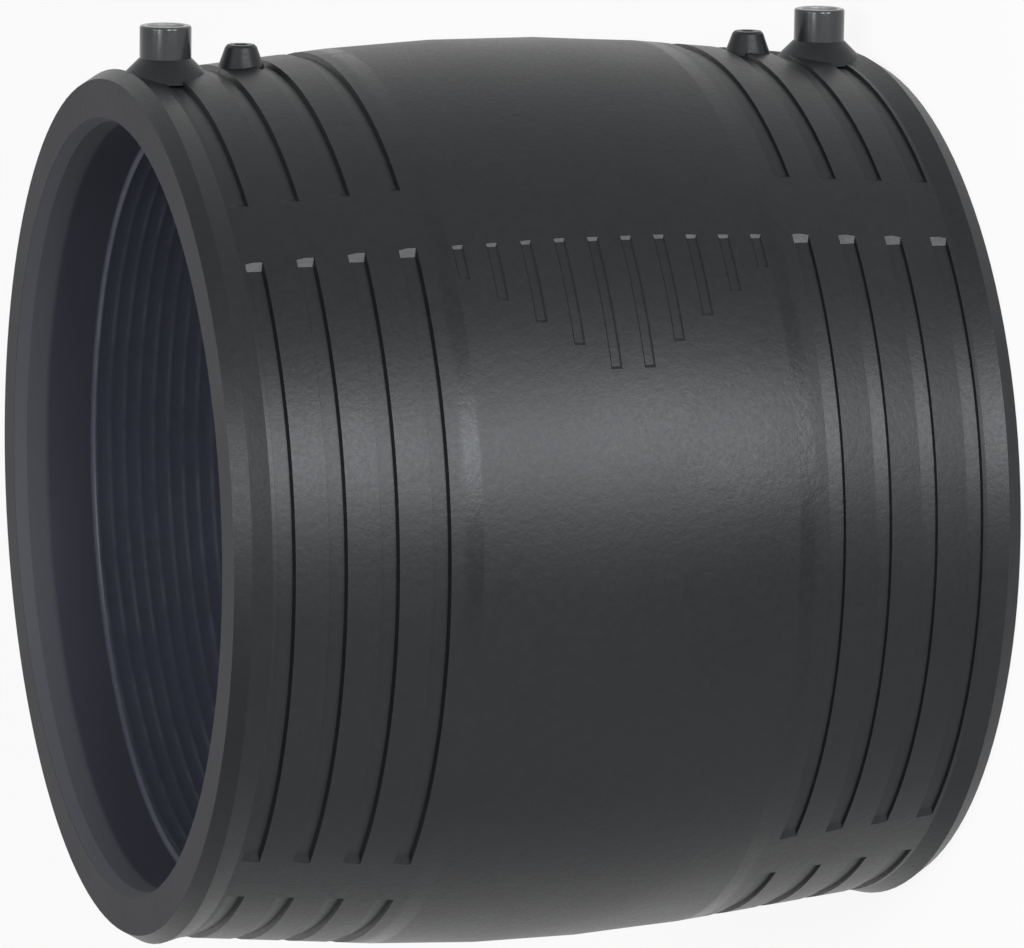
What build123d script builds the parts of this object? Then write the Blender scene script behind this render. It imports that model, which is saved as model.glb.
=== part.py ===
"""Electrofusion coupler for 200 mm polyethylene pipe.

The barrel is modelled about the bore axis, Z, with the origin at the middle of the bore.
Both terminals and both fusion indicators point along +X, one of each at either end.
"""

import os
from math import cos, radians, sin, tan

from build123d import *

# ---- driving dimensions: millimetres and degrees --------------------------------------

# bore
fusion_radius = 101.0  # bore across the heating coil
coil_thickness = 1.45
coil_inset = 21.9  # from the end face
mouth_chamfer_height = 1.05
mouth_chamfer_depth = 3.5

# outside of the barrel
coupler_length = 213.0
waist_wall = 20.7  # from the fusion surface out to the straight middle
waist_length = 28.4
shoulder_drop = 1.6  # fall of the middle zone's taper
shoulder_margin = 10.75  # from the innermost groove to the shoulder
end_zone_drop = 5.3  # fall of the end zone's taper, shoulder to rim
rim_rise = 1.4
rim_ramp_depth = 5.7
rim_bevel_height = 2.5
rim_bevel_depth = 4.2

# grooves round the end zones, broken into four arcs by webs
groove_count = 4
groove_pitch = 13.25
first_groove_inset = 13.3  # from the end face
groove_width = 4.7
groove_floor_width = 3.9
groove_depth = 1.15
groove_ramp_angle = 30.0
upper_arc_half = 38.7  # arc that the terminals stand on, and the one opposite
side_arc_half = 42.4

# short marks across the middle zone, longest in the centre
mark_count = 10
mark_margin = 2.2  # from the shoulder to the outermost mark
mark_start_angle = 47.8
mark_shortest_arc = 4.9
mark_arc_step = 3.15
mark_width = 3.0
mark_floor_width = 2.2
mark_depth = 0.5

# terminals
terminal_inset = 14.3  # from the end face
terminal_boss_rise = 4.9  # above the slimmest part of the end zone
shroud_radius = 6.85
shroud_rise = 8.6
shroud_bore_radius = 4.9
shroud_floor_drop = 2.6  # floor of the shroud below the boss's top
spigot_radius = 5.6
spigot_length = 6.4
pin_radius = 2.35
pin_recess = 4.3  # top of the pin below the rim of its shroud
pin_shank_radius = 2.9  # where the pin passes through the shroud's floor
pin_tip_chamfer = 0.5

# fusion indicators
indicator_inset = 35.0  # from the end face
indicator_boss_rise = 7.85  # above the slimmest part of the end zone
indicator_top_radius = 4.2
indicator_top_chamfer = 0.6
indicator_draft = 20.0
indicator_pin_radius = 1.7
indicator_pin_length = 13.0
indicator_pin_recess = 0.4
indicator_melt_gap = 1.0

# joins and clearances
boss_sink = 1.0  # root of each boss below the slimmest part of the end zone
seat_clearance = 0.05
coil_contact_gap = 0.1  # under the flat foot of a shank
pin_clearance = 0.08

# ---- sizes worked out from the driving dimensions ---------------------------------------

# places along the bore axis, from the middle of the coupler
half_length = coupler_length / 2
rim_offset = half_length - rim_bevel_depth
end_zone_offset = rim_offset - rim_ramp_depth
groove_offsets = [half_length - first_groove_inset - groove_pitch * i for i in range(groove_count)]
shoulder_offset = groove_offsets[-1] - shoulder_margin
waist_offset = waist_length / 2
mark_pitch = 2 * (shoulder_offset - mark_margin) / (mark_count - 1)
terminal_offset = half_length - terminal_inset
indicator_offset = half_length - indicator_inset
coil_end = half_length - coil_inset

# radii about the bore axis
bore_radius = fusion_radius + coil_thickness + seat_clearance
waist_radius = fusion_radius + waist_wall
shoulder_radius = waist_radius - shoulder_drop
end_zone_radius = shoulder_radius - end_zone_drop
rim_radius = end_zone_radius + rim_rise

# heights above the bore axis, up through a terminal and an indicator
boss_root = end_zone_radius - boss_sink
terminal_boss_radius = end_zone_radius + terminal_boss_rise
socket_floor = terminal_boss_radius - spigot_length
shroud_floor = terminal_boss_radius - shroud_floor_drop
shroud_rim = terminal_boss_radius + shroud_rise
pin_top = shroud_rim - pin_recess
indicator_boss_radius = end_zone_radius + indicator_boss_rise
indicator_shoulder = indicator_boss_radius - indicator_top_chamfer
indicator_rim_radius = indicator_top_radius - indicator_top_chamfer
indicator_top = indicator_boss_radius - indicator_pin_recess
indicator_foot = indicator_top - indicator_pin_length

arcs = [(0, upper_arc_half), (90, side_arc_half), (180, upper_arc_half), (270, side_arc_half)]
ends = {"upper": 1, "lower": -1}


def end_zone_surface(offset):
    """Radius of the end zone's surface at a distance from the middle of the coupler."""
    share = (offset - shoulder_offset) / (end_zone_offset - shoulder_offset)
    return shoulder_radius - share * (shoulder_radius - end_zone_radius)


def middle_zone_surface(offset):
    """Radius of the middle zone's surface at a place along the bore axis."""
    share = max(0, abs(offset) - waist_offset) / (shoulder_offset - waist_offset)
    return waist_radius - share * (waist_radius - shoulder_radius)


def outward(offset, height):
    """Plane square to +X, at a height above the bore axis, over a terminal or an indicator."""
    return Plane(origin=(height, 0, offset), x_dir=(0, 1, 0), z_dir=(1, 0, 0))


def radial_plane(angle):
    """Plane through the bore axis: its own X points outwards at this angle from +X, its Y is Z."""
    turn = radians(angle)
    return Plane(origin=(0, 0, 0), x_dir=(cos(turn), sin(turn), 0), z_dir=(sin(turn), -cos(turn), 0))


def arc_tool(radius, offset, start, end, top_width, floor_width, depth):
    """Solid that cuts one arc of a drafted groove, with a ramp at either end."""
    over = 1.5
    top_half = top_width / 2 + over * (top_width - floor_width) / 2 / depth
    with BuildPart() as tool:
        with BuildSketch(radial_plane(start)):
            with BuildLine():
                Polyline(
                    (radius - depth, offset - floor_width / 2),
                    (radius - depth, offset + floor_width / 2),
                    (radius + over, offset + top_half),
                    (radius + over, offset - top_half),
                    close=True,
                )
            make_face()
        revolve(axis=Axis.Z, revolution_arc=(end - start) / 2)
        edge = (radius * cos(radians(start)), radius * sin(radians(start)), offset)
        ramp = radians(start + groove_ramp_angle)
        split(bisect_by=Plane(origin=edge, z_dir=(cos(ramp), sin(ramp), 0)), keep=Keep.TOP)
        mirror(about=radial_plane((start + end) / 2))
    return tool.part


# ---- barrel -------------------------------------------------------------------------------

groove_tools = [
    arc_tool(
        end_zone_surface(offset),
        side * offset,
        middle - half,
        middle + half,
        groove_width,
        groove_floor_width,
        groove_depth,
    )
    for side in ends.values()
    for offset in groove_offsets
    for middle, half in arcs
]

mark_tools = []
for i in range(mark_count):
    mark_offset = mark_pitch * (i - (mark_count - 1) / 2)
    mark_arc = mark_shortest_arc + mark_arc_step * min(i, mark_count - 1 - i)
    mark_tools.append(
        arc_tool(
            middle_zone_surface(mark_offset),
            mark_offset,
            -mark_start_angle - mark_arc,
            -mark_start_angle,
            mark_width,
            mark_floor_width,
            mark_depth,
        )
    )

with BuildPart() as coupler_body:
    with BuildSketch(Plane.XZ):
        with BuildLine():
            Line((waist_radius, -waist_offset), (waist_radius, waist_offset))
            for side in ends.values():
                Polyline(
                    (waist_radius, side * waist_offset),
                    (shoulder_radius, side * shoulder_offset),
                    (end_zone_radius, side * end_zone_offset),
                    (rim_radius, side * rim_offset),
                    (rim_radius - rim_bevel_height, side * half_length),
                    (bore_radius + mouth_chamfer_height, side * half_length),
                    (bore_radius, side * (half_length - mouth_chamfer_depth)),
                )
            Line(
                (bore_radius, half_length - mouth_chamfer_depth),
                (bore_radius, mouth_chamfer_depth - half_length),
            )
        make_face()
    revolve(axis=Axis.Z)
    add(groove_tools + mark_tools, mode=Mode.SUBTRACT)

    for side in ends.values():
        # conical boss under the terminal, then the drafted boss round the indicator and its chamfer
        for offset, foot, top, top_radius, draft in (
            (terminal_offset, boss_root, terminal_boss_radius, shroud_radius, 45.0),
            (indicator_offset, boss_root, indicator_shoulder, indicator_top_radius, indicator_draft),
            (indicator_offset, indicator_shoulder, indicator_boss_radius, indicator_rim_radius, 45.0),
        ):
            with Locations(outward(side * offset, top)):
                Cone(
                    bottom_radius=top_radius + (top - foot) * tan(radians(draft)),
                    top_radius=top_radius,
                    height=top - foot,
                    align=(Align.CENTER, Align.CENTER, Align.MAX),
                )
        # stepped socket of the terminal, through to the coil
        for radius, foot in (
            (spigot_radius + seat_clearance, socket_floor),
            (pin_shank_radius + seat_clearance, fusion_radius),
        ):
            with Locations(outward(side * terminal_offset, terminal_boss_radius)):
                Cylinder(
                    radius=radius,
                    height=terminal_boss_radius - foot,
                    align=(Align.CENTER, Align.CENTER, Align.MAX),
                    mode=Mode.SUBTRACT,
                )
        # blind well of the fusion indicator
        with Locations(outward(side * indicator_offset, indicator_boss_radius)):
            Cylinder(
                radius=indicator_pin_radius + pin_clearance,
                height=indicator_boss_radius - indicator_foot + indicator_melt_gap,
                align=(Align.CENTER, Align.CENTER, Align.MAX),
                mode=Mode.SUBTRACT,
            )
coupler_body.part.label = "coupler_body"

# ---- heating coil ---------------------------------------------------------------------------

with BuildPart() as heating_coil:
    Cylinder(radius=fusion_radius + coil_thickness, height=2 * coil_end)
    Cylinder(radius=fusion_radius, height=2 * coil_end, mode=Mode.SUBTRACT)
heating_coil.part.label = "heating_coil"

# ---- terminals ------------------------------------------------------------------------------

with BuildPart() as shroud:
    with BuildSketch(Plane.XZ):
        with BuildLine():
            Polyline(
                (pin_shank_radius + seat_clearance, socket_floor + seat_clearance),
                (spigot_radius, socket_floor + seat_clearance),
                (spigot_radius, terminal_boss_radius),
                (shroud_radius, terminal_boss_radius),
                (shroud_radius, shroud_rim),
                (shroud_bore_radius, shroud_rim),
                (shroud_bore_radius, shroud_floor),
                (pin_shank_radius + seat_clearance, shroud_floor),
                close=True,
            )
        make_face()
    revolve(axis=Axis.Z)

with BuildPart() as pin:
    with BuildSketch(Plane.XZ):
        with BuildLine():
            Polyline(
                (0, fusion_radius + coil_thickness + coil_contact_gap),
                (pin_shank_radius, fusion_radius + coil_thickness + coil_contact_gap),
                (pin_shank_radius, shroud_floor),
                (pin_radius, shroud_floor),
                (pin_radius, pin_top - pin_tip_chamfer),
                (pin_radius - pin_tip_chamfer, pin_top),
                (0, pin_top),
                close=True,
            )
        make_face()
    revolve(axis=Axis.Z)

with BuildPart() as terminal_shrouds:
    add([outward(side * terminal_offset, 0) * shroud.part for side in ends.values()])
terminal_shrouds.part.label = "terminal_shrouds"

with BuildPart() as terminal_pins:
    add([outward(side * terminal_offset, 0) * pin.part for side in ends.values()])
terminal_pins.part.label = "terminal_pins"

# ---- fusion indicators ------------------------------------------------------------------------

indicator_pins = {}
for end, side in ends.items():
    with BuildPart() as indicator_pin:
        with Locations(outward(side * indicator_offset, indicator_top)):
            Cylinder(
                radius=indicator_pin_radius,
                height=indicator_pin_length,
                align=(Align.CENTER, Align.CENTER, Align.MAX),
            )
    indicator_pin.part.label = f"{end}_indicator_pin"
    indicator_pins[end] = indicator_pin

# ---- files ------------------------------------------------------------------------------------

os.makedirs("parts", exist_ok=True)
export_step(coupler_body.part, "parts/coupler_body.step")
export_step(heating_coil.part, "parts/heating_coil.step")
export_step(terminal_shrouds.part, "parts/terminal_shrouds.step")
export_step(terminal_pins.part, "parts/terminal_pins.step")
for end, piece in indicator_pins.items():
    export_step(piece.part, f"parts/{end}_indicator_pin.step")
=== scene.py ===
import math

import bpy
from mathutils import Matrix, Vector

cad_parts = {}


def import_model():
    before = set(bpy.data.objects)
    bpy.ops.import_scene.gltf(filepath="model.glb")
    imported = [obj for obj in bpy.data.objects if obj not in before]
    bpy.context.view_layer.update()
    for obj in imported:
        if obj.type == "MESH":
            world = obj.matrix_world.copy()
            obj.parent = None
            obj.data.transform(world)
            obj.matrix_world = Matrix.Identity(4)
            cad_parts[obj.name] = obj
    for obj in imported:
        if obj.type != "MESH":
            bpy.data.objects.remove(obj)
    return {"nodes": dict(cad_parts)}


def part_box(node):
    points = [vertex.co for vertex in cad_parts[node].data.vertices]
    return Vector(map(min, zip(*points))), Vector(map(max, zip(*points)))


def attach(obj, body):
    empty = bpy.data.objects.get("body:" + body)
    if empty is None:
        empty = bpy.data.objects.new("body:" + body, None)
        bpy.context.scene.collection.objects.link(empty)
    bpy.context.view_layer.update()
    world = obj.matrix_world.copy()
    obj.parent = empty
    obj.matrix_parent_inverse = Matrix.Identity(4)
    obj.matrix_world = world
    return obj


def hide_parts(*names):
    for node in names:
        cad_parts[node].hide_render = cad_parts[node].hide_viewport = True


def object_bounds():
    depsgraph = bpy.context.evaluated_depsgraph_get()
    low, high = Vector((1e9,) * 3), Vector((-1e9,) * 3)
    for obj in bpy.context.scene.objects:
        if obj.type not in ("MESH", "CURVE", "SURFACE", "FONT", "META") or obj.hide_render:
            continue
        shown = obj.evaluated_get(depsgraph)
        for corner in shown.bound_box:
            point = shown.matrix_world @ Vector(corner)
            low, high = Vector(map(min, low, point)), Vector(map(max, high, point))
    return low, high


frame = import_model()
cad_low, cad_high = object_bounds()
scene = bpy.context.scene
nodes = frame["nodes"]

# ---- sizes, in metres: the coupler stands on its end, with the bore's axis as Z ----
FLOOR_Z = cad_low.z

# barrel
BORE_R = 0.1010
BORE_MOUTH_R = 0.1036  # a little outside the widest part of the bore
OUTSIDE_R = 0.11  # between the bore and the outside
FACE_Z = 0.1064  # just short of the end faces
LEAD_IN_Z = 0.0975  # inner end of the turned lead-in
SHOULDER_Z = 0.0427  # where a middle taper meets an end taper
SHOULDER_EDGE = 0.0004
SHOULDER_FADE_START = 0.0036
SHOULDER_FADE_END = 0.0056
CROWN_R = 0.57  # radius of the one curve that stands for the middle and its tapers

# heating coil
COIL_START = 0.0215
COIL_END = 0.0846
COIL_RUN_IN = 0.0015  # over which the ribs rise from nothing
COIL_PITCH = 0.00424
COIL_LIP = 0.0009
RIB_HEIGHT = 0.0001

# terminal shrouds: distances from the bore's axis, then radii round the terminal's own axis
TERMINAL_Z = 0.0922
SPIGOT_END = 0.11335
SHROUD_FLOOR = 0.1171
BOSS_TOP = 0.1197
SHROUD_RIM = 0.1283
SHANK_HOLE_R = 0.00295
SHROUD_BORE_R = 0.0049
SPIGOT_R = 0.0056
SHROUD_R = 0.00685
SHROUD_MOUTH_R = 0.0053  # between the bore and the outside
RIM_ROUND = 0.0007
BORE_ROUND = 0.0004


# ---- shader helpers ----
class Tree:
    """The node tree of a material or a world, with one call per node."""

    def __init__(self, owner):
        owner.use_nodes = True
        self.nodes = owner.node_tree.nodes
        self.links = owner.node_tree.links

    def set(self, socket, value):
        if isinstance(value, bpy.types.NodeSocket):
            self.links.new(value, socket)
        else:
            socket.default_value = value

    def add(self, kind, *values, **settings):
        """A node with its first sockets set to the values."""
        node = self.nodes.new(kind)
        for key, setting in settings.items():
            setattr(node, key, setting)
        for socket, value in zip(node.inputs, values):
            self.set(socket, value)
        return node

    def place(self):
        """The point in the object's own coordinates, which are the CAD's."""
        return self.add("ShaderNodeTexCoord").outputs["Object"]

    def math(self, operation, *values):
        return self.add("ShaderNodeMath", *values, operation=operation).outputs[0]

    def product(self, first, *others):
        for other in others:
            first = self.math("MULTIPLY", first, other)
        return first

    def noise(self, vector, scale, detail=3.0, roughness=0.55):
        node = self.add("ShaderNodeTexNoise", vector)
        self.set(node.inputs["Scale"], scale)
        self.set(node.inputs["Detail"], detail)
        self.set(node.inputs["Roughness"], roughness)
        return node.outputs["Fac"]

    def spread(self, value, low, high, to_low=0.0, to_high=1.0):
        return self.add("ShaderNodeMapRange", value, low, high, to_low, to_high).outputs["Result"]

    def mix(self, factor, a, b, kind="RGBA"):
        node = self.add("ShaderNodeMix", data_type=kind)
        self.set(node.inputs["Factor"], factor)
        self.set(node.inputs["A"], a)
        self.set(node.inputs["B"], b)
        return node.outputs["Result"]

    def bump(self, height, distance, normal=None):
        node = self.add("ShaderNodeBump")
        self.set(node.inputs["Height"], height)
        self.set(node.inputs["Distance"], distance)
        self.set(node.inputs["Strength"], 1.0)
        if normal is not None:
            self.set(node.inputs["Normal"], normal)
        return node.outputs["Normal"]

    def split(self, vector):
        return self.add("ShaderNodeSeparateXYZ", vector).outputs

    def length(self, a, b):
        """The length of the hypotenuse over a and b."""
        return self.math("SQRT", self.math("ADD", self.math("MULTIPLY", a, a), self.math("MULTIPLY", b, b)))

    def seen(self):
        """1 for a ray of the camera, of a reflection or through a clear part, and 0 for light."""
        path = self.add("ShaderNodeLightPath").outputs
        either = self.math("MAXIMUM", path["Is Camera Ray"], path["Is Glossy Ray"])
        return self.math("MAXIMUM", either, path["Is Transmission Ray"])


def new_material(name):
    """A material, its tree and its shader."""
    material = bpy.data.materials.new(name)
    tree = Tree(material)
    return material, tree, tree.nodes["Principled BSDF"]


def dress(obj, material):
    obj.data.materials.clear()
    obj.data.materials.append(material)


# ---- moulded plastic ----
FINE_GRAIN, MOTTLING, FLOW_MARKS = 900.0, 380.0, 18.0  # noise scales
COOL_TINT = (0.93, 0.965, 1.0, 1)


def moulded_plastic(name, dark, light, roughness, grain=0.00006, specular=0.25, finish=None):
    """Satin moulded polyethylene: fine grain, faint mottling and soft flow marks.

    finish takes the tree, the place, the colour and the roughness, and gives back the colour, the
    roughness and the normal of a surface that isn't the same all over.
    """
    material, tree, shader = new_material(name)
    place = tree.place()
    tree.set(shader.inputs["Specular IOR Level"], specular)
    tree.set(shader.inputs["Specular Tint"], COOL_TINT)
    fine = tree.noise(place, FINE_GRAIN, 2.0, 0.6)
    medium = tree.noise(place, MOTTLING, 3.0, 0.6)
    broad = tree.noise(place, FLOW_MARKS, 3.0, 0.5)
    mottled = tree.math("ADD", tree.math("MULTIPLY", medium, 0.6), tree.math("MULTIPLY", broad, 0.4))
    colour = tree.mix(tree.spread(mottled, 0.3, 0.7), dark, light)
    rough = tree.spread(tree.math("ADD", fine, broad), 0.6, 1.4, roughness - 0.05, roughness + 0.07)
    normal = None
    if finish is not None:
        colour, rough, normal = finish(tree, place, colour, rough)
    height = tree.math("ADD", tree.math("MULTIPLY", fine, 0.5), tree.math("MULTIPLY", medium, 0.8))
    tree.set(shader.inputs["Base Color"], colour)
    tree.set(shader.inputs["Roughness"], rough)
    tree.set(shader.inputs["Normal"], tree.bump(height, grain, normal))
    return material


# ---- barrel ----
# Painted light: the bore and the lead-ins are painted far paler than the outside of the same plastic, for
# the light inside the mouth. The face grey is the turned finish of the end faces.
BORE_PAINTED_LIGHT = (0.040, 0.041, 0.054, 1)
LEAD_IN_PAINTED_LIGHT = (0.066, 0.067, 0.078, 1)
FACE_GREY = (0.022, 0.022, 0.026, 1)
TURNED_ROUGHNESS = 0.3  # what turning adds to the roughness
SHOULDER_POLISH = 0.08  # what the smoother strip takes off it
CROWN_AGREEMENT = 0.9955  # cosine, above which a face counts as part of the crown


def crowned_normal(tree, place):
    """One even crown over the straight middle and its two tapers, in place of their faint edges."""
    x, y, z = tree.split(place)
    radius = tree.length(x, y)
    around = [tree.math("DIVIDE", side, radius) for side in (x, y)]
    crown = tree.add("ShaderNodeCombineXYZ", *around, tree.math("DIVIDE", z, CROWN_R)).outputs[0]
    crown = tree.add("ShaderNodeVectorMath", crown, operation="NORMALIZE").outputs[0]
    geometry = tree.add("ShaderNodeNewGeometry").outputs
    agreement = tree.add("ShaderNodeVectorMath", crown, geometry["True Normal"], operation="DOT_PRODUCT")
    outside = tree.math("GREATER_THAN", agreement.outputs["Value"], CROWN_AGREEMENT)
    middle = tree.math("LESS_THAN", tree.math("ABSOLUTE", z), SHOULDER_Z)
    return tree.mix(tree.product(middle, outside), geometry["Normal"], crown, "VECTOR")


def barrel_finish(tree, place, colour, rough):
    """Greyer turned end faces; the bore painted paler and the lead-ins paler still, painted light standing
    in for the light inside the mouth; a smoother strip beyond either shoulder, and one crown.
    """
    x, y, z = tree.split(place)
    radius = tree.length(x, y)
    reach = tree.math("ABSOLUTE", z)
    face = tree.math("GREATER_THAN", reach, FACE_Z)
    bore = tree.math("LESS_THAN", radius, BORE_MOUTH_R)
    lead_in = tree.product(bore, tree.spread(reach, LEAD_IN_Z - 0.001, LEAD_IN_Z + 0.0005))
    # the bore and lead-in colours are painted light; the faces' grey is their own turned finish
    for zone, grey in ((bore, BORE_PAINTED_LIGHT), (lead_in, LEAD_IN_PAINTED_LIGHT), (face, FACE_GREY)):
        colour = tree.mix(zone, colour, grey)
    rise = tree.spread(reach, SHOULDER_Z - SHOULDER_EDGE, SHOULDER_Z + SHOULDER_EDGE)
    fall = tree.spread(reach, SHOULDER_Z + SHOULDER_FADE_START, SHOULDER_Z + SHOULDER_FADE_END, 1.0, 0.0)
    shoulder = tree.product(rise, fall, tree.math("GREATER_THAN", radius, OUTSIDE_R))
    turned = tree.math("MAXIMUM", face, lead_in)
    rough = tree.math("MULTIPLY_ADD", turned, TURNED_ROUGHNESS, rough)
    rough = tree.math("MULTIPLY_ADD", shoulder, -SHOULDER_POLISH, rough)
    return colour, rough, crowned_normal(tree, place)


def body_plastic():
    dark, light = (0.003, 0.0032, 0.0038, 1), (0.006, 0.0063, 0.0072, 1)
    return moulded_plastic("body_plastic", dark, light, 0.38, grain=0.00007, finish=barrel_finish)


# ---- indicators and pins ----
def indicator_plastic():
    return moulded_plastic("indicator_plastic", (0.008, 0.008, 0.009, 1), (0.012, 0.012, 0.0135, 1), 0.4)


def pin_brass():
    """Turned brass with fine tool marks and a little tarnish."""
    material, tree, shader = new_material("pin_brass")
    clean, tarnished = (0.68, 0.5, 0.24, 1), (0.374, 0.275, 0.132, 1)
    place = tree.place()
    tarnish = tree.noise(place, 700.0, 4.0, 0.6)
    tool_marks = tree.noise(place, 3000.0)
    tree.set(shader.inputs["Metallic"], 1.0)
    tree.set(shader.inputs["Base Color"], tree.mix(tree.spread(tarnish, 0.4, 0.75), clean, tarnished))
    tree.set(shader.inputs["Roughness"], tree.spread(tarnish, 0.3, 0.8, 0.25, 0.45))
    tree.set(shader.inputs["Normal"], tree.bump(tool_marks, 0.00001))
    return material


# ---- heating coil: a liner with a rib over every turn of the wire ----
# Painted highlight: the colour painted along the rib crests.
RIB_PAINTED_HIGHLIGHT = (0.072, 0.078, 0.098, 1)


def coil_finish(tree, place, colour, rough):
    """Painted highlights: paler, broken streaks along the ribs over the buried turns, standing in for the
    light the ribs catch.
    """
    x, y, z = tree.split(place)
    turn = tree.math("DIVIDE", tree.math("SUBTRACT", z, COIL_END), COIL_PITCH)
    around = tree.math("DIVIDE", tree.math("ARCTAN2", y, x), 2 * math.pi)
    wave = tree.math("COSINE", tree.math("MULTIPLY", tree.math("ADD", turn, around), 2 * math.pi))
    wound = tree.spread(tree.math("ABSOLUTE", z), COIL_START, COIL_START + COIL_RUN_IN)
    broken = tree.spread(tree.noise(place, 55.0, 4.0, 0.65), 0.38, 0.66, 0.15, 1.0)
    rib_highlight_mask = tree.product(tree.spread(wave, 0.5, 1.0), wound, broken)
    return tree.mix(rib_highlight_mask, colour, RIB_PAINTED_HIGHLIGHT), rough, None


def coil_plastic():
    # Painted light: the liner is painted far paler than the outside of the same black plastic, for the
    # light inside the bore.
    dark, light = (0.034, 0.036, 0.052, 1), (0.044, 0.047, 0.067, 1)
    return moulded_plastic("coil_plastic", dark, light, 0.35, finish=coil_finish)


def smooth_object(name, verts, faces, sharp_angle):
    """An object with smooth faces, and sharp edges above an angle in degrees."""
    mesh = bpy.data.meshes.new(name)
    mesh.from_pydata(verts, [], faces)
    mesh.polygons.foreach_set("use_smooth", [True] * len(mesh.polygons))
    mesh.set_sharp_from_angle(angle=math.radians(sharp_angle))
    obj = bpy.data.objects.new(name, mesh)
    scene.collection.objects.link(obj)
    return obj


def liner_radius(z, angle):
    """The inside of the liner: ribs along a helix, and a lip at either end."""
    wound = min(1.0, max(0.0, (abs(z) - COIL_START) / COIL_RUN_IN))
    turn = (z - COIL_END) / COIL_PITCH + angle / (2 * math.pi)
    wave = 0.5 + 0.5 * math.cos(2 * math.pi * turn)
    lip = max(0.0, abs(z) - (COIL_END - COIL_LIP))
    return BORE_R + RIB_HEIGHT * (1 - wound * wave**1.6) + lip


def polar(r, angle, z):
    return r * math.cos(angle), r * math.sin(angle), z


def coil_liner(around=128, rows=640):
    low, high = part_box("heating_coil")
    angles = [2 * math.pi * j / around for j in range(around)]
    verts, faces = [], []
    for i in range(rows + 1):
        z = low.z + (high.z - low.z) * i / rows
        verts += [polar(liner_radius(z, angle), angle, z) for angle in angles]
    for z in (low.z, high.z):
        verts += [polar(high.x, angle, z) for angle in angles]
    top = rows * around
    outer_low, outer_high = top + around, top + 2 * around
    for j in range(around):
        k = (j + 1) % around
        for start in range(0, top, around):
            faces.append((start + j, start + around + j, start + around + k, start + k))
        faces.append((j, k, outer_low + k, outer_low + j))
        faces.append((top + k, top + j, outer_high + j, outer_high + k))
        faces.append((outer_low + j, outer_low + k, outer_high + k, outer_high + j))
    return smooth_object("coil_liner", verts, faces, 50)


# ---- terminal shrouds: the same tubes as the CAD's, with a rounded rim ----
# Painted light: a pale colour inside each shroud, up to its rounded inner rim.
SHROUD_INSIDE_PAINTED_LIGHT = (0.17, 0.17, 0.165, 1)


def shroud_finish(tree, place, colour, rough):
    """A paler inside, painted light standing in for the light seen inside each shroud."""
    _, y, z = tree.split(place)
    across = tree.math("SUBTRACT", tree.math("ABSOLUTE", z), TERMINAL_Z)
    mouth = tree.math("LESS_THAN", tree.length(y, across), SHROUD_MOUTH_R)
    return tree.mix(mouth, colour, SHROUD_INSIDE_PAINTED_LIGHT), rough, None


def shroud_plastic():
    dark, light = (0.012, 0.012, 0.0135, 1), (0.017, 0.017, 0.0185, 1)
    return moulded_plastic("shroud_plastic", dark, light, 0.18, 0.00001, 0.5, shroud_finish)


def quarter(radius, centre_r, first, points=9):
    """A rounded corner of the shroud's rim, over 90 degrees from the first angle."""
    for i in range(points):
        angle = math.radians(first + 90 * i / (points - 1))
        yield centre_r + radius * math.cos(angle), SHROUD_RIM - radius + radius * math.sin(angle)


def shroud_tubes(around=72):
    profile = [
        (SHANK_HOLE_R, SPIGOT_END),
        (SPIGOT_R, SPIGOT_END),
        (SPIGOT_R, BOSS_TOP),
        (SHROUD_R, BOSS_TOP),
        *quarter(RIM_ROUND, SHROUD_R - RIM_ROUND, 0),
        *quarter(BORE_ROUND, SHROUD_BORE_R + BORE_ROUND, 90),
        (SHROUD_BORE_R, SHROUD_FLOOR),
        (SHANK_HOLE_R, SHROUD_FLOOR),
    ]
    n = len(profile)
    verts, faces = [], []
    for side in (1, -1):
        start = len(verts)
        for j in range(around):
            turn = 2 * math.pi * j / around
            verts += [(h, r * math.cos(turn), side * TERMINAL_Z + r * math.sin(turn)) for r, h in profile]
            a, b = start + j * n, start + (j + 1) % around * n
            faces += [(a + i, b + i, b + (i + 1) % n, a + (i + 1) % n) for i in range(n)]
    return smooth_object("shroud_tubes", verts, faces, 40)


# ---- floor, world, lamps and camera ----
FLOOR_HALF = 6.0
FLOOR_GREY = (0.86, 0.86, 0.86, 1)
FLOOR_GLOW = 0.9  # share of plain white in what the camera sees, the rest takes the shadow
SKY_LIGHT = (0.4, 0.4, 0.41, 1)
WHITE = (1, 1, 1, 1)

# name: place, width, height, watts. The coupler lies across the picture, so two lamps are below the
# level of its lower end, and the floor lets their light through.
SOFTBOXES = {
    "key_high": ((0.70, -1.87, 0.05), 0.7, 0.5, 27),
    "key_low": ((0.68, -1.72, -0.76), 0.8, 0.5, 24),
    "side": ((0.42, -1.4, 1.36), 0.6, 0.5, 14),
    "mouth": ((0.5, -0.8, 1.75), 0.6, 0.6, 8),
    "fill": ((-1.35, -1.45, -0.2), 1.6, 1.6, 4),
}

CAMERA_PLACE = (0.32727, -1.67610, 0.56972)
CAMERA_RIGHT = (0.012399, -0.322485, -0.946493)
CAMERA_UP = (0.983664, 0.173938, -0.046378)
CAMERA_BACK = (0.179587, -0.930456, 0.319373)
CAMERA_LENS = 233.86


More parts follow.
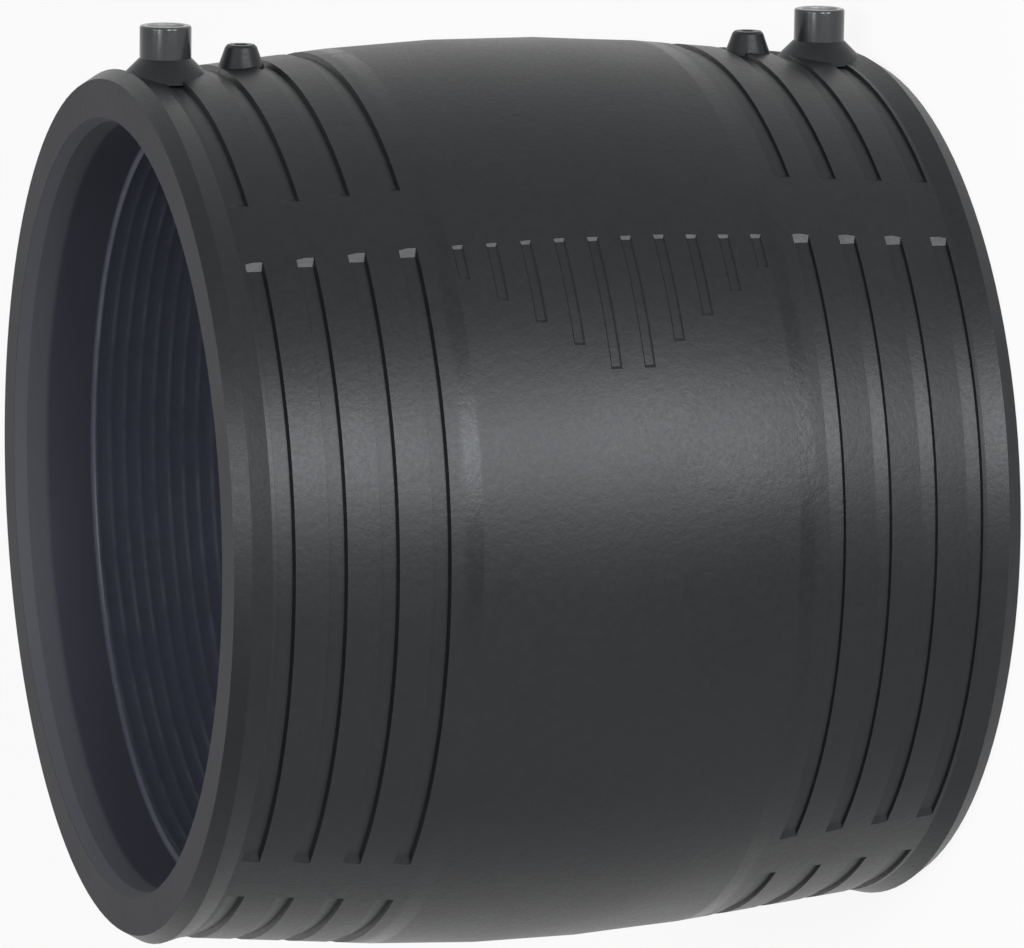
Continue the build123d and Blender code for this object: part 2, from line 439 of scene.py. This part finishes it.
def stage_floor():
    s = FLOOR_HALF
    mesh = bpy.data.meshes.new("floor")
    corners = [(x, y, FLOOR_Z) for x, y in ((-s, -s), (s, -s), (s, s), (-s, s))]
    mesh.from_pydata(corners, [], [(0, 1, 2, 3)])
    obj = bpy.data.objects.new("floor", mesh)
    scene.collection.objects.link(obj)
    material, tree, shader = new_material("floor_pale")
    tree.set(shader.inputs["Base Color"], FLOOR_GREY)
    tree.set(shader.inputs["Roughness"], 0.9)
    tree.set(shader.inputs["Specular IOR Level"], 0.0)
    glow = tree.add("ShaderNodeEmission", WHITE, 1.0).outputs[0]
    share = tree.math("MULTIPLY", tree.seen(), FLOOR_GLOW)
    blend = tree.add("ShaderNodeMixShader", share, shader.outputs[0], glow)
    tree.set(tree.nodes["Material Output"].inputs[0], blend.outputs[0])
    dress(obj, material)
    obj.visible_glossy = False
    obj.visible_shadow = False


def world():
    scene.world = bpy.data.worlds.new("world")
    tree = Tree(scene.world)
    tree.nodes.clear()
    sky = tree.add("ShaderNodeBackground", tree.mix(tree.seen(), SKY_LIGHT, WHITE))
    tree.add("ShaderNodeOutputWorld", sky.outputs[0])


def softbox(name, place, width, height, watts):
    """A soft lamp that points at the middle of the bore."""
    lamp = bpy.data.lights.new(name, "AREA")
    lamp.shape = "RECTANGLE"
    lamp.size, lamp.size_y = width, height
    lamp.energy = watts
    obj = bpy.data.objects.new(name, lamp)
    scene.collection.objects.link(obj)
    obj.location = place
    obj.rotation_mode = "QUATERNION"
    obj.rotation_quaternion = (-Vector(place)).to_track_quat("-Z", "Y")


def camera():
    data = bpy.data.cameras.new("camera")
    obj = bpy.data.objects.new("camera", data)
    scene.collection.objects.link(obj)
    turn = Matrix((CAMERA_RIGHT, CAMERA_UP, CAMERA_BACK)).transposed()
    obj.matrix_world = Matrix.Translation(CAMERA_PLACE) @ turn.to_4x4()
    data.sensor_width = 36.0
    data.lens = CAMERA_LENS
    data.clip_start, data.clip_end = 0.05, 50
    scene.camera = obj


# ---- the dressed part ----
indicator = indicator_plastic()
dress(nodes["coupler_body"], body_plastic())
dress(nodes["terminal_pins"], pin_brass())
dress(nodes["upper_indicator_pin"], indicator)
dress(nodes["lower_indicator_pin"], indicator)

liner = coil_liner()
dress(liner, coil_plastic())
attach(liner, "coupler")
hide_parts("heating_coil")

tubes = shroud_tubes()
dress(tubes, shroud_plastic())
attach(tubes, "coupler")
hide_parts("terminal_shrouds")

stage_floor()
world()
for name, setup in SOFTBOXES.items():
    softbox(name, *setup)
camera()
scene.view_settings.view_transform = "Standard"
